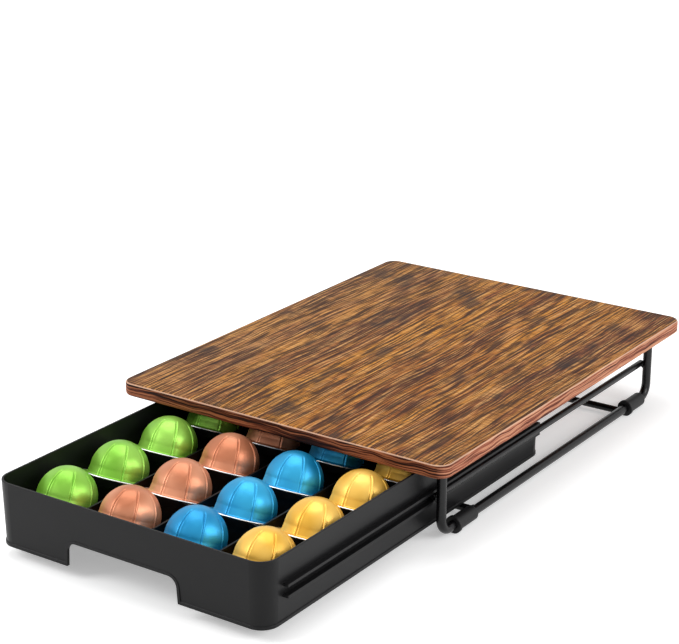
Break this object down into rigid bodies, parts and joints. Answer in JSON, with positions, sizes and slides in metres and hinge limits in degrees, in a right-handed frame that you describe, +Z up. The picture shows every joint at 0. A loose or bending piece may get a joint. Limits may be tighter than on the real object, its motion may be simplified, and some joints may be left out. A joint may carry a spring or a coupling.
{
  "type": "coffee pod drawer",
  "caption": "Shelf board on a bent-rod stand, with a pod drawer that slides out from under it on two side rails.",
  "frame": {"origin": "on the table, at the middle of the outer box at rest", "axes": "+Z up, -Y towards the user who pulls the drawer, +X to that user's right"},
  "size_m": [0.322, 0.603, 0.079],
  "materials": {
    "rustic_wood_board": "satin wood-grain foil on a pressed board, rounded edges",
    "black_powder_coated_steel": "satin black powder coat on round rod",
    "black_foot_rubber": "matt moulded rubber",
    "zinc_screw_steel": "zinc plated",
    "black_tray_plastic": "fine-grained moulded plastic",
    "black_seat_plastic": "satin moulded plastic",
    "green_pod_aluminium": "satin lacquered aluminium",
    "copper_pod_aluminium": "satin lacquered aluminium",
    "blue_pod_aluminium": "satin lacquered aluminium",
    "gold_pod_aluminium": "satin lacquered aluminium",
    "silver_pod_foil": "bare foil"
  },
  "bodies": {
    "stand": {"top_board": "rustic_wood_board", "hoop_left": "black_powder_coated_steel", "hoop_right": "black_powder_coated_steel", "rail_left": "black_powder_coated_steel", "rail_right": "black_powder_coated_steel", "cross_bar_front": "black_powder_coated_steel", "cross_bar_rear": "black_powder_coated_steel", "foot_sleeve_front_left": "black_foot_rubber", "foot_sleeve_front_right": "black_foot_rubber", "foot_sleeve_rear_left": "black_foot_rubber", "foot_sleeve_rear_right": "black_foot_rubber", "mount_plate_front_left": "black_powder_coated_steel", "mount_plate_front_right": "black_powder_coated_steel", "mount_plate_rear_left": "black_powder_coated_steel", "mount_plate_rear_right": "black_powder_coated_steel", "board_screws": "zinc_screw_steel"},
    "drawer": {"drawer_tray": "black_tray_plastic", "seat_tier_1": "black_seat_plastic", "seat_tier_2": "black_seat_plastic", "seat_tier_3": "black_seat_plastic", "seat_tier_4": "black_seat_plastic", "seat_tier_5": "black_seat_plastic", "seat_tier_6": "black_seat_plastic", "seat_divider_left": "black_seat_plastic", "seat_divider_middle": "black_seat_plastic", "seat_divider_right": "black_seat_plastic", "seat_skirt_left": "black_seat_plastic", "seat_skirt_right": "black_seat_plastic", "pod_cups_green": "green_pod_aluminium", "pod_cups_copper": "copper_pod_aluminium", "pod_cups_blue": "blue_pod_aluminium", "pod_cups_gold": "gold_pod_aluminium", "pod_foils": "silver_pod_foil"}
  },
  "joints": [
    {"name": "drawer_slide", "type": "slide", "parent": "stand", "child": "drawer", "axis": [0, -1, 0], "range_m": [-0.184, 0.1]}
  ]
}
